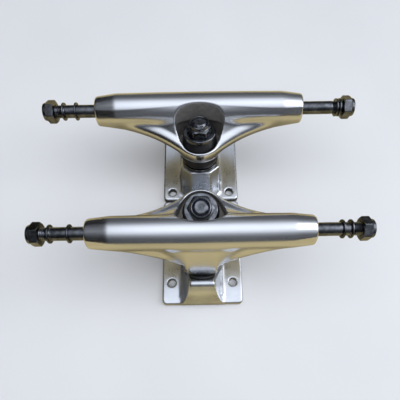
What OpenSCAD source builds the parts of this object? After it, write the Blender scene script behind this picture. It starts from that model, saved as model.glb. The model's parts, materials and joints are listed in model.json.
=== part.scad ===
// A skateboard's pair of traditional kingpin trucks. They lie on their deck faces with the axles up,
// and the kingpin ends of the two baseplates meet. The origin is on the deck face plane, at the middle
// of that seam. X runs along the axles, Y along the board and Z up from the deck face.
// Each truck is described once in its own frame: Y is the distance out from the baseplate's inner end.

/* [Truck set] */
// Gap between the inner ends of the two baseplates
truck_gap = 0.8; // [0.2:0.2:4]

/* [Baseplate] */
// Length of the baseplate along the board
plate_length = 75; // [74:0.5:80]
// Width of the baseplate
plate_width = 54.2; // [52:0.2:58]
// Thickness of the bolted flanges
plate_thickness = 5; // [4:0.5:6]
// Corner radius of the plate
plate_corner = 3; // [2:0.5:5]
// Spacing of the deck bolt holes across the board
hole_spacing_x = 41.28; // [41:0.02:42]
// Spacing of the deck bolt holes along the board
hole_spacing_y = 53.98; // [53:0.02:54.5]
// Distance from the inner end to the first row of holes
hole_inset = 6.4; // [5:0.2:7]
// Diameter of the deck bolt holes
deck_hole_d = 5.5; // [5.2:0.1:6]
// Radius of the round kingpin boss
boss_r = 13.2; // [12.8:0.1:13.6]
// Half width of the spine at the plate
spine_half = 12.6; // [12:0.1:13.5]
// Half width of the pivot block at its top
block_half = 7.8; // [7:0.1:9]

/* [Kingpin and bushings] */
// Distance out from the inner end to the kingpin's tip
tip_y = 28.4; // [28.2:0.1:28.8]
// Height of the kingpin's tip
tip_z = 57.6; // [57.4:0.1:58]
// Lean of the kingpin towards the axle, in degrees
lean = 13.3; // [13:0.1:13.6]
// Diameter of the kingpin
kingpin_d = 9.5; // [9.4:0.05:9.6]
// Length of the kingpin from its tip to the end of its head
kingpin_length = 56.6; // [56:0.1:56.8]
// Height of the upper bushing
upper_bushing_h = 9; // [8.8:0.1:9.2]
// Height of the lower bushing
lower_bushing_h = 10.3; // [10:0.1:10.6]
// Largest radius of the lower bushing
lower_bushing_r = 12.2; // [11.8:0.1:12.4]
// Outer radius of the cup washer over the upper bushing
upper_washer_r = 10.4; // [10:0.1:10.6]
// Radius of the upper bushing at the hanger
upper_bushing_r = 11.4; // [11:0.1:11.8]

/* [Hanger] */
// Width of the hanger between its two end faces
hanger_width = 130.2; // [129:0.1:131]
// Radius of the beam at its end faces
beam_end_r = 7.7; // [7.4:0.1:8]
// Radius of the beam at its middle
beam_mid_r = 9.7; // [9.4:0.1:10]
// Distance out from the inner end to the axle
axle_y = 41.2; // [41:0.1:41.6]
// Height of the axle
axle_z = 52.3; // [52:0.1:52.6]
// Outer radius of the ring round the bushings
ring_r = 14; // [13.8:0.1:14.4]
// Thickness of the web between the bushings
web_h = 3.7; // [3.5:0.1:4]
// Radius of the hole in the web that the kingpin passes through
web_hole_r = 8; // [7.5:0.1:8.5]
// Radius of the pivot pin
pivot_r = 5.6; // [5.4:0.1:5.7]

/* [Axle and its fittings] */
// Length of the axle over both ends
axle_length = 196.4; // [196:0.1:196.6]
// Diameter of the axle
axle_d = 7.94; // [7.9:0.01:7.98]
// Width of an axle nut across its flats
axle_nut_af = 12.7; // [12.5:0.1:13]
// Length of an axle nut with its collar
axle_nut_h = 7.5; // [7.2:0.1:7.8]
// Outer radius of a speed ring
speed_ring_r = 5.5; // [5.2:0.1:6]
// Thickness of a speed ring
speed_ring_h = 1; // [0.8:0.1:1.2]

/* [Hidden] */
$fn = 96;
slack = 0.02;      // gap between parts that are pressed or screwed together
run = 0.06;        // radial clearance of a part that turns or slides
far = 200;         // longer than any part that is cut

// Depths below the kingpin's tip, measured down its axis
nut_top = 0.8;
nut_h = 7;
washer_t = 1.5;
upper_washer_d = nut_top + nut_h;
upper_bushing_d = upper_washer_d + washer_t;
web_d = upper_bushing_d + upper_bushing_h;
lower_bushing_d = web_d + web_h;
lower_washer_d = lower_bushing_d + lower_bushing_h;
seat_d = lower_washer_d + washer_t;
rim_d = web_d - 3.7;
head_h = 6.2;

// Places in a truck's own frame, as [distance out, height]
ring = down_kingpin(0, web_d + web_h / 2);
cup_mouth = [58.5, 16.7];
steer_angle = atan2(ring[1] - cup_mouth[1], cup_mouth[0] - ring[0]);
nose_back = 5;     // the nose ends this far before the cup's mouth
nose_r = 6;

// The hanger's pocket: half its width, and how far it cuts into the beam from the kingpin's axis
pocket_half = 15.3;
pocket_wall = 8.8;
pocket_relief = 3; // the wall lies this much deeper beside the washer and the bushing

cup_depth = 8.5;
cup_outer_r = 7.4;
cup_lip_r = 8.5;
cup_lip_t = 1.6;
hex_r = 14.29 / 2 / cos(30);
kingpin_r = kingpin_d / 2;
axle_r = axle_d / 2;
hanger_half = hanger_width / 2;
nut_face = 98.5 - axle_nut_h;

// ---- Frames and curves ----

// A point at a distance out from the kingpin's axis and a depth below its tip
function down_kingpin(out, depth) = [
    tip_y - depth * sin(lean) + out * cos(lean),
    tip_z - depth * cos(lean) - out * sin(lean)
];

// A cubic curve with its end points a, d and its two guide points b, c
function curve(a, b, c, d, steps = 10) = [
    for (i = [0:steps])
        let (t = i / steps, u = 1 - t)
        u * u * u * a + 3 * u * u * t * b + 3 * u * t * t * c + t * t * t * d
];

// The other half of an outline that is symmetric about its second axis
function mirrored(points) = [for (i = [len(points) - 1:-1:0]) [-points[i][0], points[i][1]]];

module front_truck() {
    translate([0, truck_gap / 2, 0]) children();
}

module rear_truck() {
    rotate([0, 0, 180]) front_truck() children();
}

// Z runs up the kingpin, and the origin is at a depth below its tip
module on_kingpin(depth) {
    translate([0, tip_y, tip_z])
        rotate([-lean, 0, 0])
            translate([0, 0, -depth]) children();
}

// Z runs down the steering axis from the ring to the cup, and the origin is in the cup's mouth
module on_pivot(along) {
    translate([0, cup_mouth[0], cup_mouth[1]])
        rotate([-90 - steer_angle, 0, 0])
            translate([0, 0, along]) children();
}

// Z runs along the axle towards the side (1 right, -1 left), from a distance out from its middle
module on_axle(side, along) {
    translate([side * along, axle_y, axle_z])
        rotate([0, side * 90, 0]) children();
}

// A solid with the given outline of [distance out, height] points, centred across the truck
module side_slab(half) {
    rotate([90, 0, 90])
        linear_extrude(height = 2 * half, center = true) children();
}

// A solid with the given outline of [across, height] points, along the whole truck
module front_slab() {
    translate([0, far / 2, 0])
        rotate([90, 0, 0])
            linear_extrude(height = far) children();
}

module tube(outer, inner, height) {
    difference() {
        cylinder(r = outer, h = height);
        translate([0, 0, -1]) cylinder(r = inner, h = height + 2);
    }
}

// ---- Baseplate ----

module plate() {
    inset = plate_width / 2 - plate_corner;
    difference() {
        union() {
            translate([-inset, 0, 0]) cube([2 * inset, plate_length, plate_thickness]);
            translate([-plate_width / 2, plate_corner, 0])
                cube([plate_width, plate_length - 2 * plate_corner, plate_thickness]);
            for (x = [-inset, inset], y = [plate_corner, plate_length - plate_corner])
                translate([x, y, 0]) cylinder(r = plate_corner, h = plate_thickness);
        }
        for (x = [-0.5, 0.5], y = [0, 1])
            translate([x * hole_spacing_x, hole_inset + y * hole_spacing_y, -1])
                cylinder(d = deck_hole_d, h = plate_thickness + 2);
    }
}

// The round boss under the kingpin's seat, cut flat where it faces the inner end
module kingpin_boss() {
    seat_edge = down_kingpin(-11.6, seat_d);
    seat_back = down_kingpin(boss_r + 1, seat_d);
    intersection() {
        on_kingpin(kingpin_length) cylinder(r = boss_r, h = kingpin_length - seat_d);
        side_slab(boss_r)
            polygon([[1, 1], [1, plate_thickness], seat_edge, seat_back, [44, 12], [44, 1]]);
    }
}

// The low spine and the block that holds the pivot cup, with sloping cheeks
module pivot_block() {
    mouth_up = 11;
    mouth_line = [sin(steer_angle), cos(steer_angle)];
    block_head = cup_mouth + mouth_up * mouth_line;
    block_top = block_head[1];
    intersection() {
        side_slab(spine_half)
            polygon([
                [16, 1], [16, 14], [34, 14], [40, 8], cup_mouth - mouth_up * mouth_line, block_head,
                [66.8, block_top], [71.8, 19.5], [74.4, plate_thickness], [74.4, 1]
            ]);
        front_slab()
            polygon([
                [-spine_half, 0], [-spine_half, plate_thickness], [-block_half, block_top],
                [block_half, block_top], [spine_half, plate_thickness], [spine_half, 0]
            ]);
    }
}

module baseplate() {
    color("silver")
        difference() {
            union() {
                plate();
                kingpin_boss();
                pivot_block();
            }
            on_kingpin(kingpin_length) cylinder(r = kingpin_r + slack, h = kingpin_length);
            on_kingpin(far + kingpin_length - head_h)
                cylinder(r = hex_r + slack, h = far + slack, $fn = 6);
            on_pivot(0) cylinder(r = cup_outer_r + slack, h = cup_depth + slack);
        }
}

module pivot_cup() {
    floor_t = 1;
    color("black")
        difference() {
            union() {
                on_pivot(0) cylinder(r = cup_outer_r, h = cup_depth);
                on_pivot(-cup_lip_t) cylinder(r = cup_lip_r, h = cup_lip_t);
            }
            on_pivot(-cup_lip_t - 1)
                cylinder(r = pivot_r + run, h = cup_depth - floor_t - pivot_r + cup_lip_t + 1);
            on_pivot(cup_depth - floor_t - pivot_r) sphere(r = pivot_r + run);
        }
}

// ---- Kingpin and bushings ----

module kingpin() {
    chamfer = 0.8;
    color("dimgray")
        union() {
            on_kingpin(kingpin_length) cylinder(r = kingpin_r, h = kingpin_length - chamfer);
            on_kingpin(chamfer) cylinder(r1 = kingpin_r, r2 = kingpin_r - chamfer, h = chamfer);
            on_kingpin(kingpin_length) cylinder(r = hex_r, h = head_h, $fn = 6);
        }
}

// A washer whose rim folds over the bushing: the plate faces the nut or the seat
module cup_washer(outer, rim_h) {
    rotate_extrude()
        polygon([
            [kingpin_r + 0.3, 0], [outer - 0.6, 0], [outer, -0.6], [outer, -washer_t - rim_h],
            [outer - 0.9, -washer_t - rim_h], [outer - 1.2, -washer_t], [kingpin_r + 0.3, -washer_t]
        ]);
}

module upper_cup_washer() {
    color("dimgray") on_kingpin(upper_washer_d) cup_washer(upper_washer_r, 1.2);
}

module lower_cup_washer() {
    color("dimgray") on_kingpin(seat_d) mirror([0, 0, 1]) cup_washer(12, 1.2);
}

// A tapered bushing: narrow under the upper washer, wide where it sits in the hanger
module upper_bushing() {
    top_r = 8;
    color("black")
        on_kingpin(web_d)
            rotate_extrude()
                polygon([
                    [kingpin_r + 0.2, 0], [upper_bushing_r - 0.6, 0], [upper_bushing_r, 0.6],
                    [upper_bushing_r, 3], [9.6, 6], [top_r, upper_bushing_h - 1.3],
                    [top_r, upper_bushing_h - 0.4], [top_r - 0.4, upper_bushing_h],
                    [kingpin_r + 0.2, upper_bushing_h]
                ]);
}

// A barrel bushing between the hanger's web and the lower washer
module lower_bushing() {
    foot_r = 10.4;
    color("black")
        on_kingpin(lower_washer_d)
            rotate_extrude()
                polygon([
                    [kingpin_r + 0.2, 0], [foot_r - 0.4, 0], [foot_r, 0.4], [foot_r, 1.4],
                    [lower_bushing_r, 3], [lower_bushing_r, lower_bushing_h - 0.8],
                    [lower_bushing_r - 0.8, lower_bushing_h], [kingpin_r + 0.2, lower_bushing_h]
                ]);
}

// A hexagonal nut with a round collar that holds its locking insert
module lock_nut(flats, hex_h, height, bore_r, collar_r) {
    difference() {
        union() {
            cylinder(r = flats / 2 / cos(30), h = hex_h, $fn = 6);
            cylinder(r = collar_r, h = height);
        }
        translate([0, 0, -1]) cylinder(r = bore_r, h = height + 2);
        translate([0, 0, height - 2.1]) cylinder(r = collar_r - 0.7, h = 1.6);
    }
}

module lock_insert(height, bore_r, collar_r) {
    translate([0, 0, height - 2.1 + slack])
        tube(collar_r - 0.7 - slack, bore_r, 1.6 - 2 * slack);
}

module kingpin_nut() {
    color("dimgray")
        on_kingpin(upper_washer_d - slack)
            rotate([0, 0, 30]) lock_nut(14.29, 4.8, nut_h, kingpin_r + slack, 6.3);
}

module kingpin_nut_insert() {
    color("darkslateblue")
        on_kingpin(upper_washer_d - slack) lock_insert(nut_h, kingpin_r + slack, 6.3);
}

// ---- Hanger ----

module beam() {
    half = curve([beam_mid_r, 0], [beam_mid_r, 30], [beam_mid_r - 0.6, 42],
                 [beam_end_r + 0.5, hanger_half - 1.2]);
    corner = [[beam_end_r, hanger_half - 0.6], [beam_end_r - 0.8, hanger_half]];
    right = concat(half, corner);
    left = [for (i = [len(right) - 1:-1:1]) [right[i][0], -right[i][1]]];
    on_axle(1, 0)
        rotate_extrude()
            polygon(concat([[0, -hanger_half]], left, right, [[0, hanger_half]]));
}

// The body between the beam, the ring and the nose: a side outline, a plan outline and a front
// outline, each extruded, and their common volume
module arms() {
    ring_low = down_kingpin(-ring_r, lower_bushing_d);
    ring_high = down_kingpin(-ring_r, rim_d);
    plan_in = curve([11.5, 16.2], [17, 22.5], [24, 30], [60, 35]);
    plan_out = curve([60, 49.5], [22, 51.5], [14, 53.5], [7, 58]);
    plan = concat([[0, 10]], [[8.5, 12.8]], plan_in, plan_out, [[0, 59]]);
    front = concat([[0, 12], [6, 14]], curve([7, 17], [16, 31], [26, 39.5], [62, 44.6]),
                   [[62, far], [0, far]]);
    intersection() {
        side_slab(62)
            polygon([
                ring_low, ring_high, [21, 45], [31.5, 53.5], [41.2, 60], [50.9, 50.5],
                [58, 25.4], [50.4, 13.2], [36, 27], [34.5, 33.4]
            ]);
        linear_extrude(height = far)
            polygon(concat(plan, mirrored(plan)));
        front_slab()
            polygon(concat(front, mirrored(front)));
    }
}

// The pocket's outline across the kingpin: round at the ring's tip, pointed at the two sides and
// bowed where it cuts the beam
module pocket_outline(wall) {
    shoulder = 2.2;
    bow = [
        for (a = [0:15:180])
            [pocket_half * cos(a), shoulder + (wall - shoulder) * sin(a)]
    ];
    tip_arc = [for (a = [200:20:340]) [12.4 * cos(a), 12.4 * sin(a)]];
    polygon(concat(bow, tip_arc));
}

module hanger() {
    relief_d = 6.4;
    color("silver")
        difference() {
            union() {
                beam();
                arms();
                on_kingpin(lower_bushing_d) cylinder(r = ring_r, h = lower_bushing_d - rim_d);
                on_pivot(-nose_back - 16) cylinder(r1 = 8.5, r2 = nose_r, h = 16);
                on_pivot(-nose_back - 1)
                    cylinder(r = pivot_r, h = cup_depth - 1.4 - pivot_r + nose_back + 1);
                on_pivot(cup_depth - 1.4 - pivot_r) sphere(r = pivot_r);
            }
            on_kingpin(web_d) linear_extrude(height = far) pocket_outline(pocket_wall);
            on_kingpin(web_d)
                linear_extrude(height = web_d - relief_d) pocket_outline(pocket_wall + pocket_relief);
            on_kingpin(far / 2) cylinder(r = web_hole_r, h = far / 2);
            on_kingpin(lower_bushing_d + far / 2) cylinder(r = 13.2, h = far / 2);
            on_axle(1, -far / 2) cylinder(r = axle_r + slack, h = far);
        }
}

// ---- Axle and its fittings ----

module axle() {
    chamfer = 0.6;
    half = axle_length / 2;
    color("dimgray")
        union() {
            on_axle(1, 0) translate([0, 0, chamfer - half])
                cylinder(r = axle_r, h = axle_length - 2 * chamfer);
            for (side = [-1, 1])
                on_axle(side, half - chamfer)
                    cylinder(r1 = axle_r, r2 = axle_r - chamfer, h = chamfer);
        }
}

module axle_nut(side) {
    color("dimgray")
        on_axle(side, nut_face) lock_nut(axle_nut_af, 5.2, axle_nut_h, axle_r + slack, 5.5);
}

module axle_nut_insert(side) {
    color("darkslateblue")
        on_axle(side, nut_face) lock_insert(axle_nut_h, axle_r + slack, 5.5);
}

module speed_ring(side, along) {
    color("dimgray")
        on_axle(side, along) tube(speed_ring_r, axle_r + run, speed_ring_h);
}

// ---- Front truck ----

front_truck() baseplate();  // front_baseplate
front_truck() pivot_cup();  // front_pivot_cup
front_truck() kingpin();  // front_kingpin
front_truck() lower_cup_washer();  // front_lower_cup_washer
front_truck() lower_bushing();  // front_lower_bushing
front_truck() hanger();  // front_hanger
front_truck() upper_bushing();  // front_upper_bushing
front_truck() upper_cup_washer();  // front_upper_cup_washer
front_truck() kingpin_nut();  // front_kingpin_nut
front_truck() kingpin_nut_insert();  // front_kingpin_nut_insert
front_truck() axle();  // front_axle
front_truck() axle_nut(-1);  // front_axle_nut_left
front_truck() axle_nut(1);  // front_axle_nut_right
front_truck() axle_nut_insert(-1);  // front_axle_nut_insert_left
front_truck() axle_nut_insert(1);  // front_axle_nut_insert_right
front_truck() speed_ring(-1, 85.5);  // front_speed_ring_outer_left
front_truck() speed_ring(-1, 77.6);  // front_speed_ring_inner_left
front_truck() speed_ring(1, 86.9);  // front_speed_ring_inner_right
front_truck() speed_ring(1, 88.9);  // front_speed_ring_outer_right

// ---- Rear truck, turned half round: left is the -X side of both trucks ----

rear_truck() baseplate();  // rear_baseplate
rear_truck() pivot_cup();  // rear_pivot_cup
rear_truck() kingpin();  // rear_kingpin
rear_truck() lower_cup_washer();  // rear_lower_cup_washer
rear_truck() lower_bushing();  // rear_lower_bushing
rear_truck() hanger();  // rear_hanger
rear_truck() upper_bushing();  // rear_upper_bushing
rear_truck() upper_cup_washer();  // rear_upper_cup_washer
rear_truck() kingpin_nut();  // rear_kingpin_nut
rear_truck() kingpin_nut_insert();  // rear_kingpin_nut_insert
rear_truck() axle();  // rear_axle
rear_truck() axle_nut(1);  // rear_axle_nut_left
rear_truck() axle_nut(-1);  // rear_axle_nut_right
rear_truck() axle_nut_insert(1);  // rear_axle_nut_insert_left
rear_truck() axle_nut_insert(-1);  // rear_axle_nut_insert_right
rear_truck() speed_ring(1, 85.8);  // rear_speed_ring_outer_left
rear_truck() speed_ring(1, 74.6);  // rear_speed_ring_inner_left
rear_truck() speed_ring(-1, 80.3);  // rear_speed_ring_inner_right
rear_truck() speed_ring(-1, 85.1);  // rear_speed_ring_outer_right
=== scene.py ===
"""The looks of a pair of skateboard trucks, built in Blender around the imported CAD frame.

Each piece is made in a truck's own frame, in millimetres: X along the axle, Y the distance out from the
baseplate's inner end, Z up from the deck face. It is then placed on both trucks, in metres.
"""

import json
import math

import bpy
import numpy as np
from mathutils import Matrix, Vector


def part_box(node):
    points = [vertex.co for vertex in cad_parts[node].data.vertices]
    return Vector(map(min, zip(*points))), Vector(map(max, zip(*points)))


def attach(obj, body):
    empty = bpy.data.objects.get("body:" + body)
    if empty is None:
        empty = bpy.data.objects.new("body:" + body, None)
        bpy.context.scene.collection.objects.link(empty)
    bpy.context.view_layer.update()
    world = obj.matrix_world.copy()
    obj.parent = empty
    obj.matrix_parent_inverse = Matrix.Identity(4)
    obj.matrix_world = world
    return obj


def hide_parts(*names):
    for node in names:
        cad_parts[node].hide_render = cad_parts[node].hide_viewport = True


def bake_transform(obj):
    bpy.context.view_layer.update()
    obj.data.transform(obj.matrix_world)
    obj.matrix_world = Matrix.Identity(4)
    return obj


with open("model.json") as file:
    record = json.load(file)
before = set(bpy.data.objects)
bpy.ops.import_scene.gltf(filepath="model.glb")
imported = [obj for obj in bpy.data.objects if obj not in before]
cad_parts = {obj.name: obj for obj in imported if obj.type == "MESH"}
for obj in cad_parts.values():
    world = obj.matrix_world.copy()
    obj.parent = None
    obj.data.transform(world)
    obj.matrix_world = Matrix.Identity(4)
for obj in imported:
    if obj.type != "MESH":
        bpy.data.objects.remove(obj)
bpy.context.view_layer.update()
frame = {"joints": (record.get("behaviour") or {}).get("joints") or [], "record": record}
JOINTS = {joint["name"]: joint for joint in frame["joints"]}
MM = 1000.0

# ---- Places read from the frame, in the front truck's own frame ----

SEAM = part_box("front_baseplate")[0].y * MM


def own(point):
    """A row point in metres as a point of the front truck's own frame, in millimetres."""
    return np.array([point[0] * MM, point[1] * MM - SEAM, point[2] * MM])


def middle(node):
    """The middle of a front truck's node, in the truck's own frame."""
    low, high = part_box(node)
    return own((low + high) / 2)


AXLE = middle("front_axle")
TIP = own(JOINTS["front_kingpin_nut_turn"]["pos_m"])
UP_PIN = np.array(JOINTS["front_kingpin_nut_turn"]["axis"])
RING = own(JOINTS["front_steer"]["pos_m"])
STEER = np.array(JOINTS["front_steer"]["axis"])
LEAN_SIN, LEAN_COS = UP_PIN[1], UP_PIN[2]

HALF_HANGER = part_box("front_hanger")[1].x * MM
AXLE_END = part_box("front_axle")[1].x * MM
AXLE_R = (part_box("front_axle")[1].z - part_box("front_axle")[0].z) * MM / 2
NUT_FACE = -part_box("front_axle_nut_left")[1].x * MM
NUT_H = -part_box("front_axle_nut_left")[0].x * MM - NUT_FACE
PLATE_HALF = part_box("front_baseplate")[1].x * MM
PLATE_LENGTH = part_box("front_baseplate")[1].y * MM - SEAM
HOLES = frame["record"]["mounts"][0]
HOLE_X = HOLES["dims"]["spacing_x_mm"] / 2
HOLE_Y = HOLES["dims"]["spacing_y_mm"] / 2
HOLE_R = HOLES["dims"]["hole_r_mm"]
HOLE_MID = own(HOLES["pos_m"])[1]

# ---- Sizes that the frame's boxes and joints don't give, in millimetres ----

# Depths below the kingpin's tip, down its axis
NUT_TOP, WASHER_TOP, UPPER_TOP = 0.8, 7.8, 9.3
RIM, WEB_TOP, WEB_LOW = 14.6, 18.3, 22.0
LOWER_FOOT, SEAT = 32.3, 33.8
KINGPIN_LENGTH, HEAD_H = 56.6, 6.2
KINGPIN_NUT_H = WASHER_TOP - NUT_TOP
KINGPIN_R = 4.75
RING_R = 14.0
PLATE_T = 5.0

# The pivot cup's mouth on the steering axis, and the parts of the pivot
MOUTH = RING + STEER * 40.74
CUP_DEPTH, CUP_R, CUP_LIP_R, CUP_LIP_T = 8.5, 7.4, 8.5, 1.6
PIVOT_R = 5.6
PIVOT_GAP = 1.4
NOSE_BACK = 5.0

# Hexagons across their flats, collars, and the threads
KINGPIN_FLATS, AXLE_NUT_FLATS = 14.29, 12.7
KINGPIN_COLLAR_R, AXLE_COLLAR_R = 6.3, 5.5
PITCH, THREAD_DEPTH = 1.058, 0.5

# ---- Implicit surfaces: negative inside, in millimetres ----


def smooth_min(a, b, k):
    """The smaller of a and b, blended where they differ by less than k."""
    h = np.clip(0.5 + 0.5 * (b - a) / k, 0, 1)
    return b + (a - b) * h - k * h * (1 - h)


def smooth_max(a, b, k):
    """The larger of a and b, blended where they differ by less than k."""
    return -smooth_min(-a, -b, k)


def bezier(*points, steps=64):
    """Points along the curve that these guide points give, one row per coordinate."""
    t = np.linspace(0, 1, steps)[:, None]
    level = [np.array(p, float)[None, :] for p in points]
    while len(level) > 1:
        level = [a * (1 - t) + b * t for a, b in zip(level, level[1:])]
    return level[0].T


def along_curve(curve, x):
    """The curve's other coordinates at each x, as arrays."""
    return [np.interp(x, curve[0], row) for row in curve[1:]]


def tapered_link(y, z, a, b, hollow):
    """Distance to the strip between two circles (y, z, r): the strip narrows quickly if hollow is high."""
    dy, dz = b[0] - a[0], b[1] - a[1]
    t = np.clip(((y - a[0]) * dy + (z - a[1]) * dz) / (dy * dy + dz * dz + 1e-6), 0, 1)
    radius = b[2] + (a[2] - b[2]) * (1 - t) ** hollow
    return np.hypot(y - a[0] - t * dy, z - a[1] - t * dz) - radius


def half_plane(y, z, a, b):
    """Distance beyond the line from a to b, positive on its right."""
    dy, dz = b[0] - a[0], b[1] - a[1]
    return ((y - a[0]) * dz - (z - a[1]) * dy) / (np.hypot(dy, dz) + 1e-6)


def pin_frame(y, z):
    """(distance out from the kingpin's axis, depth below its tip)"""
    dy, dz = y - TIP[1], z - TIP[2]
    return dy * LEAN_COS - dz * LEAN_SIN, -dy * LEAN_SIN - dz * LEAN_COS


def steer_frame(y, z):
    """(distance along the steering axis past the cup's mouth, distance above that axis)"""
    dy, dz = y - MOUTH[1], z - MOUTH[2]
    return dy * STEER[1] + dz * STEER[2], -dy * STEER[2] + dz * STEER[1]


# The axle housing: its radii, how much it slims away from the middle, how far it bows outwards at the
# middle, and the length of the taper at its ends
BEAM_MID_R, BEAM_END_R = 9.6, 7.7
BEAM_SLIM, BEAM_BOW = 0.4, 0.2
TAPER = 13.0
# Rails that the hanger's arms follow towards their ends: across, out, up, radius
RING_RAIL = bezier((0, 15, 41.5, 3.6), (14, 17, 42, 4.0), (18, 34, 44.5, 3.8), (66, 39, 50.8, 5.0))
NOSE_RAIL = bezier((0, 50.4, 22.5, 5.4), (9, 50, 22.5, 5.2), (15, 47, 43, 4.6), (66, 43, 50.2, 5.0))
# How hollow each arm is, and where across the truck the nose's side becomes hollow
RING_HOLLOW, NOSE_HOLLOW = 1.7, 1.6
HOLLOW_FROM, HOLLOW_OVER = 9, 18
# The nose: a cone that narrows towards the cup, and how far back it and the pivot reach
NOSE_R, NOSE_CONE, NOSE_REACH, PIVOT_REACH = 4.9, 0.12, 24, 20
# The pocket: its outline, the slope of its sides, and the wider relief below its rim
POCKET_HALF, POCKET_SHOULDER, POCKET_WALL, POCKET_TIP_R = 15.3, 2.2, 8.8, 12.4
POCKET_COS, POCKET_SIN, POCKET_BACK = 0.870, 0.493, 4.2
RELIEF_DEPTH, RELIEF_WALL = 6.4, 3.0
# The hole in the web, the recess for the lower bushing, and the axle's bore
WEB_HOLE_R, RECESS_R = 8.0, 13.2
BORE_DEPTH, BORE_ROOM = 12, 0.1


def pocket(x, out, wall):
    """The pocket's outline across the kingpin: bowed into the beam, pointed at its sides, round at its
    tip."""
    rise = out - POCKET_SHOULDER
    depth = wall - POCKET_SHOULDER
    q = np.sqrt((x / POCKET_HALF) ** 2 + (rise / depth) ** 2) + 1e-6
    slope = np.sqrt((x / POCKET_HALF**2) ** 2 + (rise / depth**2) ** 2) / q + 1e-6
    bow = np.where(rise > 0, (q - 1) / slope, np.abs(x) - POCKET_HALF)
    corner = POCKET_COS * POCKET_HALF - POCKET_SIN * POCKET_SHOULDER
    side = POCKET_COS * np.abs(x) - POCKET_SIN * out - corner
    shoulder = smooth_max(smooth_max(bow, side, 1.6), -(out + POCKET_BACK), 0.5)
    tip = smooth_max(np.hypot(x, out) - POCKET_TIP_R, out - POCKET_SHOULDER, 1.0)
    return smooth_min(shoulder, tip, 1.5)


def beam_and_arms(x, y, z):
    """The axle housing, and the arms that join it to the ring and to the nose."""
    across = x * x / np.sqrt(x * x + 9)  # |x|, but round at the middle
    share = np.clip(across / HALF_HANGER, 0, 1)
    taper = smooth_max((across - HALF_HANGER + TAPER) / TAPER, np.zeros_like(x), 0.12)
    beam_r = BEAM_MID_R - BEAM_SLIM * share**2 - (BEAM_MID_R - BEAM_SLIM - BEAM_END_R) * taper
    lift = 1 - share**2
    centre = (AXLE[1] + BEAM_BOW * lift, AXLE[2])
    beam = np.hypot(y - centre[0], z - centre[1]) - beam_r
    c = along_curve(RING_RAIL, across)
    n = along_curve(NOSE_RAIL, across)
    b = (centre[0], centre[1], beam_r)
    hollow = NOSE_HOLLOW * np.clip((across - HOLLOW_FROM) / HOLLOW_OVER, 0, 1)
    arms = smooth_min(tapered_link(y, z, b, c, RING_HOLLOW), tapered_link(y, z, b, n, hollow), 3.0)
    arms = smooth_min(arms, tapered_link(y, z, n, c, 1.0), 3.0)
    inside = np.maximum(
        np.maximum(half_plane(y, z, b, n), half_plane(y, z, n, c)), half_plane(y, z, c, b)
    )
    return smooth_min(smooth_min(arms, inside, 2.0), beam, 2.0)


def with_nose_and_pivot(body, x, y, z):
    """The body with the nose and the pivot pin that runs into the cup."""
    along, above = steer_frame(y, z)
    round_pivot = np.hypot(x, above)
    nose = smooth_max(round_pivot - NOSE_R + NOSE_CONE * (along + NOSE_BACK), along + NOSE_BACK, 1.2)
    nose = np.maximum(nose, -NOSE_REACH - along)
    body = smooth_min(body, nose, 2.0)
    body = smooth_max(body, np.abs(x) - HALF_HANGER, 1.5)
    tip_at = CUP_DEPTH - PIVOT_GAP - PIVOT_R
    pivot = np.sqrt(round_pivot**2 + np.maximum(along - tip_at, 0) ** 2) - PIVOT_R
    return smooth_min(body, np.maximum(pivot, -PIVOT_REACH - along), 1.0)


def without_pocket(body, x, out, depth):
    """The body less the pocket, the hole in its web and the recess for the lower bushing."""
    round_pin = np.hypot(x, out)
    opening = smooth_max(pocket(x, out, POCKET_WALL), depth - WEB_TOP, 0.8)
    relief = smooth_max(pocket(x, out, POCKET_WALL + RELIEF_WALL), depth - WEB_TOP, 0.8)
    relief = smooth_max(relief, RELIEF_DEPTH - depth, 0.8)
    body = smooth_max(body, -opening, 1.1)
    body = smooth_max(body, -relief, 0.6)
    body = smooth_max(body, WEB_HOLE_R - round_pin, 0.8)
    recess = smooth_max(round_pin - RECESS_R, WEB_LOW - depth, 0.6)
    return smooth_max(body, -recess, 0.8)


def hanger_field(x, y, z):
    """The whole hanger casting, without its axle."""
    out, depth = pin_frame(y, z)
    half_ring = (WEB_LOW - RIM) / 2
    ring = smooth_max(np.hypot(x, out) - RING_R, np.abs(depth - (RIM + WEB_LOW) / 2) - half_ring, 1.4)
    body = smooth_min(beam_and_arms(x, y, z), ring, 2.2)
    body = with_nose_and_pivot(body, x, y, z)
    body = without_pocket(body, x, out, depth)
    round_axle = np.hypot(y - AXLE[1], z - AXLE[2])
    bore = np.maximum(round_axle - AXLE_R - BORE_ROOM, HALF_HANGER - BORE_DEPTH - np.abs(x))
    return smooth_max(body, -bore, 0.6)


# The mask of as-cast surfaces, darkened with painted shade, starts a little above the relief and a little
# outside the recess
SHADED_CAST_DEPTH, SHADED_CAST_RECESS_R = 6.2, 13.6


def as_cast_and_painted_shade(points):
    """How far each hanger point is as-cast rather than polished, and darkened with painted shade: the
    pocket's walls and the lower recess."""
    x, y, z = points.T
    out, depth = pin_frame(y, z)
    wall = pocket(x, out, POCKET_WALL + np.where(depth > SHADED_CAST_DEPTH, RELIEF_WALL, 0))
    within = np.clip((0.4 - wall) / 0.5, 0, 1) * np.clip((WEB_LOW + 2 - depth) / 2, 0, 1)
    in_recess = np.clip((SHADED_CAST_RECESS_R - np.hypot(x, out)) / 0.4, 0, 1)
    below = in_recess * np.clip(depth - WEB_LOW + 1, 0, 1)
    return np.maximum(within, below)


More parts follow.
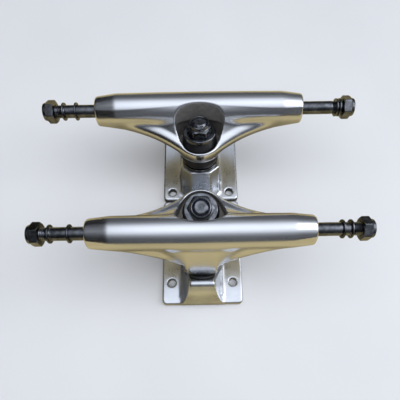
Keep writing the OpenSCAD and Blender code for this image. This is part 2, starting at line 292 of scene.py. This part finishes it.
# The baseplate, as [out, up] points and sizes across
PLATE_CORNER = 3.0
BOSS_HALF, BOSS_FOOT, BOSS_EDGE = 13.2, (1.2, PLATE_T), (9.3, 27.4)
CHAMFER_FROM, CHAMFER_SIDE, CHAMFER_UP = 6.5, 0.676, 0.291
BLOCK_TOP, BLOCK_BEND, BLOCK_FOOT = (66.6, 26.1), (71.4, 19.5), (74.6, PLATE_T)
CHEEK_HALF, CHEEK_SLOPE, CHEEK_COS = 12.6, 0.227, 0.975
SPINE_TOP, SPINE_SLOPE, SPINE_FROM, SPINE_TO = 8.5, 0.02, 16, 68
HEAD_RECESS_R = 8.9


def left_of(y, z, a, b):
    """Distance beyond the line from a to b, positive on its left."""
    return -half_plane(y, z, a, b)


def plate_outline(ax, y):
    """The bolted plate's outline, with round corners."""
    qx = ax - PLATE_HALF + PLATE_CORNER
    qy = np.abs(y - PLATE_LENGTH / 2) - PLATE_LENGTH / 2 + PLATE_CORNER
    outside = np.hypot(np.maximum(qx, 0), np.maximum(qy, 0))
    return outside + np.minimum(np.maximum(qx, qy), 0) - PLATE_CORNER


def kingpin_boss(ax, y, z, out, depth):
    """The kingpin's boss: round towards the pivot, with a flat face and two chamfers at the inner end."""
    side = np.where(out > 0, np.hypot(ax, out), ax) - BOSS_HALF
    face = left_of(y, z, BOSS_FOOT, BOSS_EDGE)
    chamfer = (
        CHAMFER_SIDE * (ax - CHAMFER_FROM)
        - CHAMFER_SIDE * (y - BOSS_EDGE[0])
        + CHAMFER_UP * (z - BOSS_EDGE[1])
    )
    boss = smooth_max(smooth_max(side, face, 0.7), chamfer, 0.7)
    return smooth_max(boss, SEAT - depth, 0.9)


def pivot_block(ax, y, z, along):
    """The pivot's block, with the cup's mouth on one side, a bent slope on the other and sloping cheeks.
    It comes with the low spine that joins it to the boss."""
    cheek = (ax - CHEEK_HALF + (z - PLATE_T) * CHEEK_SLOPE) * CHEEK_COS
    end = smooth_max(left_of(y, z, BLOCK_TOP, BLOCK_BEND), left_of(y, z, BLOCK_BEND, BLOCK_FOOT), 1.5)
    top = smooth_max(z - BLOCK_TOP[1], end, 1.4)
    block = smooth_max(smooth_max(cheek, -along, 0.8), top, 1.2)
    spine = smooth_max(cheek, z - SPINE_TOP + SPINE_SLOPE * y, 1.6)
    return block, smooth_max(spine, np.maximum(SPINE_FROM - y, y - SPINE_TO), 1.0)


def baseplate_field(x, y, z):
    """The whole baseplate casting, with its bolt holes, the cup's bore and the kingpin head's recess."""
    ax = np.abs(x)
    outline = plate_outline(ax, y)
    plate = smooth_max(outline, z - PLATE_T, 1.4)
    out, depth = pin_frame(y, z)
    along, above = steer_frame(y, z)
    block, spine = pivot_block(ax, y, z, along)
    body = smooth_min(smooth_min(kingpin_boss(ax, y, z, out, depth), block, 1.5), spine, 3.0)
    body = smooth_min(plate, body, 3.2)
    body = smooth_max(body, outline, 0.8)
    body = smooth_max(body, -z, 0.7)

    hole = np.hypot(ax - HOLE_X, np.abs(y - HOLE_MID) - HOLE_Y) - HOLE_R
    body = smooth_max(body, -hole, 0.35)
    cup = smooth_max(np.hypot(x, above) - CUP_R, along - CUP_DEPTH, 0.3)
    body = smooth_max(body, -cup, 0.4)
    head = smooth_max(np.hypot(x, out) - HEAD_RECESS_R, KINGPIN_LENGTH - HEAD_H - depth, 0.5)
    return smooth_max(body, -head, 0.5)


# ---- Meshes ----


def add_object(name, points, faces, sharp=None):
    """A Blender object from points in the row frame, in metres. It is smooth, but for edges sharper than
    sharp degrees."""
    mesh = bpy.data.meshes.new(name)
    mesh.from_pydata(np.asarray(points).tolist(), [], np.asarray(faces).tolist())
    mesh.validate()
    mesh.shade_smooth()
    if sharp:
        mesh.set_sharp_from_angle(angle=math.radians(sharp))
    obj = bpy.data.objects.new(name, mesh)
    bpy.context.scene.collection.objects.link(obj)
    return obj


def skin(field, low, high, cell):
    """The surface where field is 0, as points and quads: one point for each cell that it crosses. Each
    point starts at the mean of the crossings on its cell's edges."""
    axes = [np.arange(a - 2 * cell, b + 3 * cell, cell) for a, b in zip(low, high)]
    value = field(*np.meshgrid(*axes, indexing="ij", sparse=True)).astype(np.float32)
    value[value == 0] = 1e-6
    inside = value < 0
    cells = tuple(n - 1 for n in value.shape)
    total = np.zeros(cells + (3,), np.float32)
    count = np.zeros(cells, np.float32)
    corner = [(i, j, k) for i in (0, 1) for j in (0, 1) for k in (0, 1)]

    def part(array, at):
        return array[tuple(slice(o, o + n) for o, n in zip(at, cells))]

    for a in corner:
        for axis in range(3):
            if a[axis]:
                continue
            b = tuple(v + (i == axis) for i, v in enumerate(a))
            va, vb = part(value, a), part(value, b)
            cross = part(inside, a) != part(inside, b)
            t = np.where(cross, va / np.where(cross, va - vb, 1), 0)
            for i in range(3):
                total[..., i] += np.where(cross, a[i] + (t if i == axis else 0), 0)
            count += cross
    active = count > 0
    index = np.full(cells, -1)
    index[active] = np.arange(active.sum())
    at = np.argwhere(active) + total[active] / count[active][:, None]
    points = np.array([axes[i][0] for i in range(3)]) + at * cell

    faces = []
    for axis in range(3):
        u, v = (axis + 1) % 3, (axis + 2) % 3
        shape = list(enumerate(value.shape))
        inner = tuple(slice(0, n - 1) if i == axis else slice(1, n - 1) for i, n in shape)
        onward = tuple(slice(1, n) if i == axis else slice(1, n - 1) for i, n in shape)
        cross = inside[inner] != inside[onward]
        start = np.argwhere(cross) + np.array([0 if i == axis else 1 for i in range(3)])
        leaves = inside[inner][cross]
        ring = []
        for du, dv in ((-1, -1), (0, -1), (0, 0), (-1, 0)):
            cell_at = start.copy()
            cell_at[:, u] += du
            cell_at[:, v] += dv
            ring.append(index[tuple(cell_at.T)])
        quads = np.stack(ring, 1)
        quads[~leaves] = quads[~leaves][:, ::-1]
        faces.append(quads)
    faces = np.concatenate(faces)

    # a few Newton steps bring each point onto the surface
    step, furthest = 0.04, 0.3 * cell
    for _ in range(4):
        here = field(*points.T)
        slope = np.stack(
            [
                field(*(points + step * np.eye(3)[i]).T) - field(*(points - step * np.eye(3)[i]).T)
                for i in range(3)
            ],
            1,
        ) / (2 * step)
        move = here[:, None] * slope / np.maximum((slope**2).sum(1), 0.25)[:, None]
        points = points - np.clip(move, -furthest, furthest)
    return points, faces


def lathe(rows, segments=64, radius=None):
    """Points and quads of a closed outline of (radius, height) rows turned about Z. radius(angle, row)
    may change a row's (radius, height)."""
    angles = np.arange(segments) * 2 * math.pi / segments
    points = []
    for row in rows:
        for angle in angles:
            r, h = radius(angle, row) if radius else row[:2]
            points.append((r * math.cos(angle), r * math.sin(angle), h))
    faces = []
    for i in range(len(rows)):
        j = (i + 1) % len(rows)
        for k in range(segments):
            m = (k + 1) % segments
            faces.append((i * segments + k, i * segments + m, j * segments + m, j * segments + k))
    return np.array(points), faces


def rounded(corners, radius=0.3, steps=3):
    """A closed outline of (radius, height) corners with each corner rounded by a short arc."""
    rows = []
    for i, corner in enumerate(corners):
        c = np.array(corner[:2], float)
        before = np.array(corners[i - 1][:2], float) - c
        after = np.array(corners[(i + 1) % len(corners)][:2], float) - c
        bend = corner[2] if len(corner) > 2 else radius
        reach = min(bend, 0.45 * np.linalg.norm(before), 0.45 * np.linalg.norm(after))
        a = c + before / np.linalg.norm(before) * reach
        b = c + after / np.linalg.norm(after) * reach
        for k in range(steps + 1):
            t = k / steps
            rows.append(tuple(a * (1 - t) ** 2 + c * 2 * t * (1 - t) + b * t * t))
    return rows


def turned(*corners, steps=4, segments=80):
    """A turned piece with this outline, its corners rounded."""
    return lathe(rounded(corners, steps=steps), segments)


CORNER_TRIM, CORNER_DROP = 0.985, 0.55


def hexagonal(flats, chamfer_r, start=0.0):
    """A radius function for lathe: rows marked round keep their radius, and rows marked low or high
    follow the flats, and slope towards the hexagon's middle beyond the chamfer's radius."""

    def radius(angle, row):
        r, h, kind = row
        if kind == "round":
            return r, h
        turn = (angle + math.pi / 6 + start) % (math.pi / 3) - math.pi / 6
        flat = min(flats / 2 / math.cos(turn), flats / 2 / math.cos(math.pi / 6) * CORNER_TRIM)
        drop = max(0.0, flat - chamfer_r) * CORNER_DROP
        return flat, h + (drop if kind == "low" else -drop)

    return radius


SEAT_ROOM = 0.02


def nut(flats, hex_h, height, bore_r, collar_r, turn=0.0):
    """A lock nut that stands just clear of Z = 0: a chamfered hexagon with a crimped collar."""
    chamfer_r = flats / 2 - 0.15
    rows = [
        (bore_r + 0.5, SEAT_ROOM, "round"),
        (chamfer_r - 0.6, SEAT_ROOM, "round"),
        (chamfer_r, 0.12, "round"),
        (0, 0.12, "low"),
        (0, hex_h - 0.1, "high"),
        (chamfer_r, hex_h, "round"),
        (collar_r + 0.35, hex_h + 0.1, "round"),
        (collar_r, hex_h + 0.5, "round"),
        (collar_r, height - 0.7, "round"),
        (collar_r - 0.25, height - 0.2, "round"),
        (collar_r - 0.8, height, "round"),
        (collar_r - 1.15, height - 0.15, "round"),
        (collar_r - 1.25, height - 0.5, "round"),
        (bore_r + 0.6, height - 0.7, "round"),
        (bore_r, height - 1.1, "round"),
        (bore_r, 0.5, "round"),
    ]
    return lathe(rows, 120, hexagonal(flats, chamfer_r, turn))


def threaded(rows, has_thread):
    """A closed bar along Z, from (height, radius) rows. It is threaded where has_thread(height) is true."""

    def radius(angle, row):
        r, h = row
        phase = (h / PITCH - angle / (2 * math.pi)) % 1
        groove = THREAD_DEPTH * has_thread(h) * abs(2 * phase - 1) ** 1.3
        return max(r - groove, 0.02), h

    return lathe([(r, h) for h, r in rows], 48, radius)


class Place:
    """Where a piece's own Z axis and origin lie in the truck's frame."""

    def __init__(self, origin, up):
        self.origin = np.array(origin, float)
        self.up = np.array(up, float) / np.linalg.norm(up)
        across = np.array([1.0, 0, 0]) if abs(self.up[0]) < 0.9 else np.array([0, 1.0, 0])
        self.side = np.cross(across, self.up)
        self.side /= np.linalg.norm(self.side)
        self.across = np.cross(self.up, self.side)

    def put(self, points):
        return self.origin + points @ np.array([self.across, self.side, self.up])


def on_pin(depth):
    """On the kingpin's axis, this far below its tip."""
    return Place(TIP - UP_PIN * depth, UP_PIN)


def on_steer(along):
    """On the steering axis, this far past the cup's mouth."""
    return Place(MOUTH + STEER * along, STEER)


def on_axle(side, along):
    """On the axle, this far from its middle towards one side."""
    return Place([side * along, AXLE[1], AXLE[2]], [side, 0, 0])


TURNS = {"front": 1, "rear": -1}


def to_row(truck, points):
    """Truck points in millimetres as row points in metres."""
    turned = np.asarray(points, float) + np.array([0, SEAM, 0])
    return turned * np.array([TURNS[truck], TURNS[truck], 1]) / MM


def add_piece(truck, node, body, made, slot, place=None, sharp=None):
    """Puts a made (points, faces) piece on a truck in place of the CAD node of the same name. A piece with
    no body is left unattached."""
    points, faces = made
    if place:
        points = place.put(points)
    name = f"{truck}_{node}"
    obj = add_object(f"{name}_finish", to_row(truck, points), faces, sharp)
    obj.data.materials.append(MATERIALS[slot])
    if body:
        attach(obj, f"{truck}_{body}")
    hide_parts(name)
    return obj


def add_mask(obj, name, values):
    """Stores one value for each of the object's points, for its material to read."""
    layer = obj.data.attributes.new(name, "FLOAT", "POINT")
    layer.data.foreach_set("value", np.asarray(values, np.float32))


# ---- Materials ----


class Nodes:
    """A material and short calls that add and link its nodes."""

    def __init__(self, name):
        self.material = bpy.data.materials.new(name)
        self.material.use_nodes = True
        self.tree = self.material.node_tree
        self.shader = self.tree.nodes["Principled BSDF"]
        self.place = self.add("ShaderNodeTexCoord").outputs["Object"]

    def add(self, kind, **settings):
        made = self.tree.nodes.new(kind)
        for key, value in settings.items():
            setattr(made, key, value)
        return made

    def link(self, source, target):
        self.tree.links.new(source, target)

    def stretched(self, scale):
        """The object's own coordinates, scaled along each axis."""
        mapping = self.add("ShaderNodeMapping")
        mapping.inputs["Scale"].default_value = scale
        self.link(self.place, mapping.inputs["Vector"])
        return mapping.outputs["Vector"]

    def noise(self, scale, detail, stretch=(1, 1, 1)):
        made = self.add("ShaderNodeTexNoise")
        made.inputs["Scale"].default_value = scale
        made.inputs["Detail"].default_value = detail
        self.link(self.stretched(stretch), made.inputs["Vector"])
        return made.outputs["Fac"]

    def ramp(self, factor, low, high, ends=(0.3, 0.7)):
        """From the low colour to the high one as factor goes between the ends. A colour of one number is
        a grey."""
        made = self.add("ShaderNodeValToRGB")
        for element, at, colour in zip(made.color_ramp.elements, ends, (low, high)):
            element.position = at
            element.color = (*colour, 1) if len(colour) == 3 else (colour[0],) * 3 + (1,)
        self.link(factor, made.inputs["Fac"])
        return made.outputs["Color"]

    def mix(self, factor, a, b, mode="MIX"):
        """Mixes two colours or greys. Inputs 0, 6 and 7 are the node's factor and its two colours."""
        made = self.add("ShaderNodeMix", data_type="RGBA", blend_type=mode)
        for socket, value in zip((made.inputs[0], made.inputs[6], made.inputs[7]), (factor, a, b)):
            if isinstance(value, bpy.types.NodeSocket):
                self.link(value, socket)
            elif isinstance(value, float) and socket.type == "RGBA":
                socket.default_value = (value, value, value, 1)
            else:
                socket.default_value = value
        return made.outputs[2]

    def bump(self, height, strength, distance, before=None):
        made = self.add("ShaderNodeBump")
        made.inputs["Strength"].default_value = strength
        made.inputs["Distance"].default_value = distance
        self.link(height, made.inputs["Height"])
        if before:
            self.link(before, made.inputs["Normal"])
        return made.outputs["Normal"]

    def set(self, **values):
        """Links or sets the shader's inputs, with _ for a space, and gives the material."""
        for key, value in values.items():
            socket = self.shader.inputs[key.replace("_", " ")]
            if isinstance(value, bpy.types.NodeSocket):
                self.link(value, socket)
            else:
                socket.default_value = value
        return self.material


def polished_aluminium():
    """The hanger: polished casting with fine lines along the axle and cloudy patches. Where the as-cast
    mask is 1 it is rough instead, and dark with painted shade in the pocket and the lower recess."""
    n = Nodes("polished_aluminium")
    brushed = n.noise(900, 4, (0.03, 1, 1))
    clouds = n.noise(55, 4, (0.35, 1, 1))
    tint = n.ramp(clouds, (0.70, 0.71, 0.74), (0.80, 0.81, 0.84))
    streaks = n.ramp(brushed, (0.93,), (1.0,))
    rough = n.mix(0.5, n.ramp(clouds, (0.17,), (0.27,)), n.ramp(brushed, (0.14,), (0.30,)))
    fine = n.bump(brushed, 0.10, 0.0001)
    waves = n.bump(n.noise(120, 2), 0.12, 0.0002, fine)
    cast = n.add("ShaderNodeAttribute", attribute_name="as_cast_and_painted_shade").outputs["Fac"]
    grain = n.noise(500, 4)
    polished = n.mix(1.0, tint, streaks, "MULTIPLY")
    # painted shade: where the as-cast mask is 1, a dark grey darkens the pocket walls and the lower recess
    colour = n.mix(cast, polished, n.ramp(grain, (0.17, 0.155, 0.14), (0.30, 0.275, 0.25)))
    return n.set(
        Metallic=n.mix(cast, 1.0, 0.45), Base_Color=colour, Roughness=n.mix(cast, rough, 0.5), Normal=waves
    )


def tumbled_aluminium():
    """The baseplate: a slightly grainy cast skin, a little darker than the polished hanger."""
    n = Nodes("tumbled_aluminium")
    grain = n.noise(700, 3)
    clouds = n.noise(90, 5)
    tint = n.ramp(clouds, (0.62, 0.64, 0.68), (0.78, 0.80, 0.84))
    rough = n.mix(0.4, n.ramp(clouds, (0.24,), (0.34,)), n.ramp(grain, (0.24,), (0.38,)))
    cast = n.bump(n.noise(260, 4), 0.10, 0.0003)
    return n.set(Metallic=1.0, Base_Color=tint, Roughness=rough, Normal=n.bump(grain, 0.06, 0.0001, cast))


def black_oxide():
    """Black steel: blue-black with slight wear that shows a greyer metal."""
    n = Nodes("black_oxide")
    wear = n.noise(300, 4)
    tint = n.ramp(wear, (0.10, 0.105, 0.115), (0.26, 0.27, 0.30), (0.4, 0.8))
    rough = n.ramp(n.noise(500, 3), (0.16,), (0.27,))
    return n.set(Metallic=1.0, Base_Color=tint, Roughness=rough, Normal=n.bump(wear, 0.08, 0.0001))


def black_urethane():
    """The bushings: near-black and a little glossy."""
    n = Nodes("black_urethane")
    cloud = n.noise(120, 3)
    tint = n.ramp(cloud, (0.006, 0.006, 0.007), (0.016, 0.016, 0.018))
    rough = n.ramp(n.noise(400, 2), (0.34,), (0.46,))
    return n.set(Base_Color=tint, Roughness=rough, Normal=n.bump(cloud, 0.06, 0.0003))


def moulded_rubber():
    """The pivot cup: near-black and duller than the bushings."""
    n = Nodes("moulded_rubber")
    grain = n.noise(900, 3)
    tint = n.ramp(grain, (0.010, 0.010, 0.011), (0.022, 0.022, 0.024))
    rough = n.ramp(grain, (0.45,), (0.6,))
    return n.set(Base_Color=tint, Roughness=rough, Normal=n.bump(grain, 0.1, 0.0001))


def dark_nylon():
    """The nuts' locking inserts: dark blue."""
    n = Nodes("dark_nylon")
    cloud = n.noise(400, 3)
    tint = n.ramp(cloud, (0.012, 0.016, 0.04), (0.02, 0.028, 0.07))
    rough = n.ramp(cloud, (0.3,), (0.42,))
    return n.set(Base_Color=tint, Roughness=rough, Normal=n.bump(cloud, 0.05, 0.0001))


MATERIALS = {
    "polished_hanger": polished_aluminium(),
    "cast_plate": tumbled_aluminium(),
    "black_steel": black_oxide(),
    "black_urethane": black_urethane(),
    "cup_rubber": moulded_rubber(),
    "nylon": dark_nylon(),
}

# ---- The pieces of a truck ----

CELL = 0.6
BOX_ROOM = 1.5


def casting(field, node):
    """The skin of a casting, searched for in a box a little larger than its CAD node."""
    low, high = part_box(node)
    return skin(field, own(low) - BOX_ROOM, own(high) + BOX_ROOM, CELL)


def cup_washer(outer):
    """A washer whose rim folds over a bushing, with its flat face at Z = 0 and its rim below."""
    inner = KINGPIN_R + 0.3
    t = 1.5
    rim = -t - 1.2
    return turned(
        (inner, 0, 0.2),
        (outer - 0.1, 0, 0.8),
        (outer, rim, 0.35),
        (outer - 1.0, rim, 0.35),
        (outer - 1.2, -t, 0.5),
        (inner, -t, 0.2),
    )


def flipped(made):
    """The piece mirrored in Z, with its faces turned to match."""
    points, faces = made
    return points * np.array([1, 1, -1]), [f[::-1] for f in faces]


def pivot_cup():
    """The rubber cup with a rolled lip, mouth at Z = 0 and its lip below it."""
    wall = PIVOT_R + 0.06
    floor = CUP_DEPTH - 1
    lip_r = 0.8
    ball = [
        (wall * math.cos(a), floor - PIVOT_R + wall * math.sin(a))
        for a in np.radians([0, 15, 30, 45, 60, 75, 88])
    ]
    outer = rounded([(0.2, CUP_DEPTH), (CUP_R, CUP_DEPTH, 0.8), (CUP_R, 0, 0.1)], steps=2)[3:]
    lip = [
        (CUP_LIP_R - lip_r + lip_r * math.cos(a), -CUP_LIP_T / 2 - lip_r * math.sin(a))
        for a in np.radians([-90, -45, 0, 45, 90])
    ]
    mouth = [(wall + 0.5, -CUP_LIP_T), (wall, -CUP_LIP_T + 0.5)]
    return lathe([(0.2, CUP_DEPTH), *outer, *lip, *mouth, *ball], 72)


def kingpin():
    """The kingpin along Z, tip up at Z = 0: a threaded end with a dimple, and a hexagonal head."""
    low = -KINGPIN_LENGTH
    neck = low + HEAD_H
    tip = [(-0.05, 0.03), (-0.35, 1.2), (-0.1, 1.9), (0.0, KINGPIN_R - 1.2), (-0.15, KINGPIN_R - 0.9)]
    thread = [(h, KINGPIN_R) for h in np.arange(-0.8, -14, -PITCH / 6)]
    rest = [(-16, KINGPIN_R), (neck, KINGPIN_R), (neck, KINGPIN_R + 0.3), (neck, 0.03)]
    body = threaded(tip + thread + rest, lambda h: -13 < h < -0.7)
    rows = [
        (0.03, low, "round"),
        (6.6, low, "round"),
        (0, low + 0.2, "low"),
        (0, neck - 0.1, "high"),
        (6.8, neck, "round"),
        (0.03, neck, "round"),
    ]
    head = lathe(rows, 120, hexagonal(KINGPIN_FLATS, 6.9))
    # the body's rows run downwards, so its faces are turned round
    return np.concatenate([body[0], head[0]]), [
        *[f[::-1] for f in body[1]],
        *[tuple(v + len(body[0]) for v in f) for f in head[1]],
    ]


def axle():
    """The axle along Z with its middle at 0: plain for most of its length, threaded near its ends."""
    thread_from, thread_to = 84.5, AXLE_END - 0.6
    ends = np.arange(thread_from, AXLE_END - 0.5, PITCH / 6)
    half = [(h, AXLE_R) for h in [0.0, 30.0, 60.0, 75.0, thread_from - 0.5, *ends]]
    half += [(AXLE_END - 0.1, AXLE_R - 0.45), (AXLE_END, AXLE_R - 0.7)]
    half += [(AXLE_END - 0.3, 0.9), (AXLE_END - 0.7, 0.03)]
    rows = [(-h, r) for h, r in half[:0:-1]] + half
    return threaded(rows, lambda h: thread_from < abs(h) < thread_to)


def upper_bushing():
    """The tapered bushing, standing on the hanger's web."""
    inner, height = KINGPIN_R + 0.4, WEB_TOP - UPPER_TOP
    return turned(
        (inner, 0),
        (11.4, 0, 0.8),
        (11.5, 2.8, 1.2),
        (9.4, 6.2, 2.0),
        (8.2, height - 1.2, 0.9),
        (8.1, height, 0.5),
        (inner, height),
    )


def lower_bushing():
    """The barrel bushing, standing on its cup washer."""
    inner, height = KINGPIN_R + 0.4, LOWER_FOOT - WEB_LOW
    return turned(
        (inner, 0),
        (10.4, 0, 0.5),
        (10.5, 1.3, 0.8),
        (12.1, 2.8, 1.2),
        (12.35, height / 2, 3.0),
        (12.2, height, 0.9),
        (inner, height),
    )


def ring_outline(inner, outer, low, high, bends):
    """A plain turned ring. bends are the corner radii: inner low, outer, inner high."""
    return turned(
        (inner, low, bends[0]),
        (outer, low, bends[1]),
        (outer, high, bends[1]),
        (inner, high, bends[2]),
        steps=3,
        segments=56,
    )


def speed_ring():
    """A thin axle washer, 1 mm thick."""
    return ring_outline(AXLE_R + 0.06, 5.5, 0, 1.0, (0.15, 0.25, 0.15))


def insert(height, bore_r, collar_r):
    """The nylon ring inside the collar of a nut of this height."""
    return ring_outline(bore_r, collar_r - 0.75, height - 2.05, height - 0.55, (0.2, 0.2, 0.3))


def add_bushings(truck):
    """The two bushings, each left unattached to any body, with its transform baked into its mesh."""
    upper = add_piece(
        truck, "upper_bushing", None, upper_bushing(), "black_urethane", on_pin(WEB_TOP), 40
    )
    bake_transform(upper)
    lower = add_piece(
        truck, "lower_bushing", None, lower_bushing(), "black_urethane", on_pin(LOWER_FOOT), 40
    )
    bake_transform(lower)


def add_kingpin_parts(truck):
    """The kingpin, its washers, the pivot cup, and the kingpin nut with its insert."""
    upper, lower = cup_washer(10.4), flipped(cup_washer(12.0))
    hexagon = nut(KINGPIN_FLATS, 4.8, KINGPIN_NUT_H, KINGPIN_R, KINGPIN_COLLAR_R, math.pi / 6)
    lock = insert(KINGPIN_NUT_H, KINGPIN_R, KINGPIN_COLLAR_R)
    add_piece(truck, "kingpin", "base", kingpin(), "black_steel", on_pin(0), 35)
    add_piece(truck, "upper_cup_washer", "base", upper, "black_steel", on_pin(WASHER_TOP), 40)
    add_piece(truck, "lower_cup_washer", "base", lower, "black_steel", on_pin(SEAT), 40)
    add_piece(truck, "pivot_cup", "base", pivot_cup(), "cup_rubber", on_steer(0), 50)
    add_piece(truck, "kingpin_nut", "kingpin_nut", hexagon, "black_steel", on_pin(WASHER_TOP), 30)
    add_piece(truck, "kingpin_nut_insert", "kingpin_nut", lock, "nylon", on_pin(WASHER_TOP), 40)


def add_axle_parts(truck):
    """The axle, and the nut, its insert and the two speed rings at each of its ends."""
    hexagon = nut(AXLE_NUT_FLATS, 5.2, NUT_H, AXLE_R, AXLE_COLLAR_R)
    lock = insert(NUT_H, AXLE_R, AXLE_COLLAR_R)
    add_piece(truck, "axle", "hanger", axle(), "black_steel", on_axle(1, 0), 35)
    for side_name in ("left", "right"):
        # left is the row's -X side on both trucks
        side = (-1 if side_name == "left" else 1) * TURNS[truck]
        body = f"axle_nut_{side_name}"
        place = on_axle(side, NUT_FACE)
        add_piece(truck, body, body, hexagon, "black_steel", place, 30)
        add_piece(truck, f"axle_nut_insert_{side_name}", body, lock, "nylon", place, 40)
        for which in ("inner", "outer"):
            node = f"speed_ring_{which}_{side_name}"
            low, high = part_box(f"{truck}_{node}")
            along = min(abs(low.x), abs(high.x)) * MM
            add_piece(truck, node, node, speed_ring(), "black_steel", on_axle(side, along), 40)


HANGER_SKIN = casting(hanger_field, "front_hanger")
PLATE_SKIN = casting(baseplate_field, "front_baseplate")
HANGER_CAST_AND_SHADE = as_cast_and_painted_shade(HANGER_SKIN[0])


def add_castings(truck):
    """The hanger, with the mask of its surfaces left as cast and darkened with painted shade, and the
    baseplate.
    """
    hanger = add_piece(truck, "hanger", "hanger", HANGER_SKIN, "polished_hanger")
    add_mask(hanger, "as_cast_and_painted_shade", HANGER_CAST_AND_SHADE)
    add_piece(truck, "baseplate", "base", PLATE_SKIN, "cast_plate")


for truck in TURNS:
    add_castings(truck)
    add_kingpin_parts(truck)
    add_bushings(truck)
    add_axle_parts(truck)

# ---- Floor, light and camera ----


def add_floor():
    """A pale floor. Reflections see it in a painted tan, darkened with painted shade near the middle of the
    pair.
    """
    half = 3.0
    corners = [(-half, -half, 0), (half, -half, 0), (half, half, 0), (-half, half, 0)]
    floor = add_object("floor", corners, [(0, 1, 2, 3)])
    n = Nodes("pale_floor")
    tint = n.ramp(n.noise(9, 2), (0.80, 0.80, 0.81), (0.84, 0.84, 0.85))
    # painted reflection: a tan that only reflections see, not the floor's own colour
    painted_reflection = n.ramp(n.noise(30, 3), (0.60, 0.48, 0.23), (0.72, 0.58, 0.29))
    far = n.add("ShaderNodeVectorMath", operation="LENGTH")
    n.link(n.place, far.inputs[0])
    # painted shade: the reflected tan darkens towards the middle of the pair, where the trucks would shade
    # the floor
    painted_shade_to, unshaded_from = 0.04, 0.11
    painted_reflection = n.mix(1.0, painted_reflection, n.ramp(far.outputs["Value"], (0.08,), (1.0,), (painted_shade_to, unshaded_from)), "MULTIPLY")
    reflected = n.add("ShaderNodeLightPath").outputs["Is Glossy Ray"]
    floor.data.materials.append(n.set(Base_Color=n.mix(reflected, tint, painted_reflection), Roughness=0.7))


def add_softbox(name, at, target, size, power, colour=(1, 1, 1), glossy=True):
    """An area light that the camera doesn't see, and that reflections see only if glossy."""
    light = bpy.data.lights.new(name, "AREA")
    light.shape = "RECTANGLE"
    light.size, light.size_y = size
    light.energy = power
    light.color = colour
    obj = bpy.data.objects.new(name, light)
    obj.location = at
    obj.rotation_euler = (Vector(target) - Vector(at)).to_track_quat("-Z", "Y").to_euler()
    obj.visible_camera = False
    obj.visible_glossy = glossy
    bpy.context.scene.collection.objects.link(obj)


LEFT_DARK, LEFT_LIGHT, DARK_LEVEL = -0.41, -0.27, 0.12
STUDIO_TINT = (0.92, 0.98, 1.08)
BACKDROP = (0.62, 0.63, 0.66, 1)


def add_world():
    """A dim studio with one large soft light overhead that fades towards its edges and ends on the left.
    The camera sees a plain pale backdrop instead."""
    world = bpy.data.worlds.new("studio")
    world.use_nodes = True
    tree = world.node_tree

    def add(kind, *inputs, **settings):
        node = tree.nodes.new(kind)
        for key, value in settings.items():
            setattr(node, key, value)
        for socket, value in zip(node.inputs, inputs):
            if isinstance(value, bpy.types.NodeSocket):
                tree.links.new(value, socket)
            else:
                socket.default_value = value
        return node

    direction = add("ShaderNodeTexCoord").outputs["Generated"]
    across, along, up = add("ShaderNodeSeparateXYZ", direction).outputs
    # height and lean are the ray's climb and its tilt to the side, per length seen along the axles
    flat = add("ShaderNodeMath", along, along, operation="MULTIPLY").outputs[0]
    square = add("ShaderNodeMath", up, up, flat, operation="MULTIPLY_ADD").outputs[0]
    length = add("ShaderNodeMath", square, 0.5, operation="POWER").outputs[0]
    height = add("ShaderNodeMath", up, length, operation="DIVIDE").outputs[0]
    lean = add("ShaderNodeMath", across, length, operation="DIVIDE").outputs[0]
    bell = add("ShaderNodeValToRGB", height)
    stops = ((0.0, 0.10), (0.5, 0.13), (0.70, 0.26), (0.84, 0.58), (0.93, 1.05), (1.0, 1.4))
    elements = bell.color_ramp.elements
    while len(elements) < len(stops):
        elements.new(0.5)
    for element, (at, level) in zip(elements, stops):
        element.position = at
        element.color = (*[level * tint for tint in STUDIO_TINT], 1)
    ends = (LEFT_DARK, LEFT_LIGHT, DARK_LEVEL, 1.0)
    left = add("ShaderNodeMapRange", lean, *ends, interpolation_type="SMOOTHSTEP")
    studio = tree.nodes["Background"]
    tree.links.new(bell.outputs["Color"], studio.inputs["Color"])
    tree.links.new(left.outputs["Result"], studio.inputs["Strength"])
    backdrop = add("ShaderNodeBackground", BACKDROP, 1.0).outputs[0]
    seen = add("ShaderNodeLightPath").outputs["Is Camera Ray"]
    both = add("ShaderNodeMixShader", seen, studio.outputs[0], backdrop).outputs[0]
    tree.links.new(both, tree.nodes["World Output"].inputs["Surface"])
    bpy.context.scene.world = world


def add_camera():
    """The camera, placed to see the pair as the photo does."""
    data = bpy.data.cameras.new("camera")
    data.sensor_width = 36
    data.lens = 33.5
    data.shift_x, data.shift_y = -0.013, 0.117
    cam = bpy.data.objects.new("camera", data)
    cam.location = (0.0009, -0.1156, 0.2521)
    looks_down, turned_by = 72.05, -1.1
    cam.rotation_euler = (math.radians(90 - looks_down), 0, math.radians(turned_by))
    data.clip_start, data.clip_end = 0.01, 20
    bpy.context.scene.collection.objects.link(cam)
    bpy.context.scene.camera = cam


add_floor()
add_world()
add_softbox("right_glint", (0.6, 0.0, 0.5), (0, 0, 0.04), (0.5, 0.7), 1.4, (0.95, 0.97, 1.0))
add_softbox("fill", (-0.2, -0.1, 0.9), (0, 0, 0), (1.2, 1.2), 4.0, glossy=False)
add_camera()
bpy.context.scene.view_settings.view_transform = "Standard"
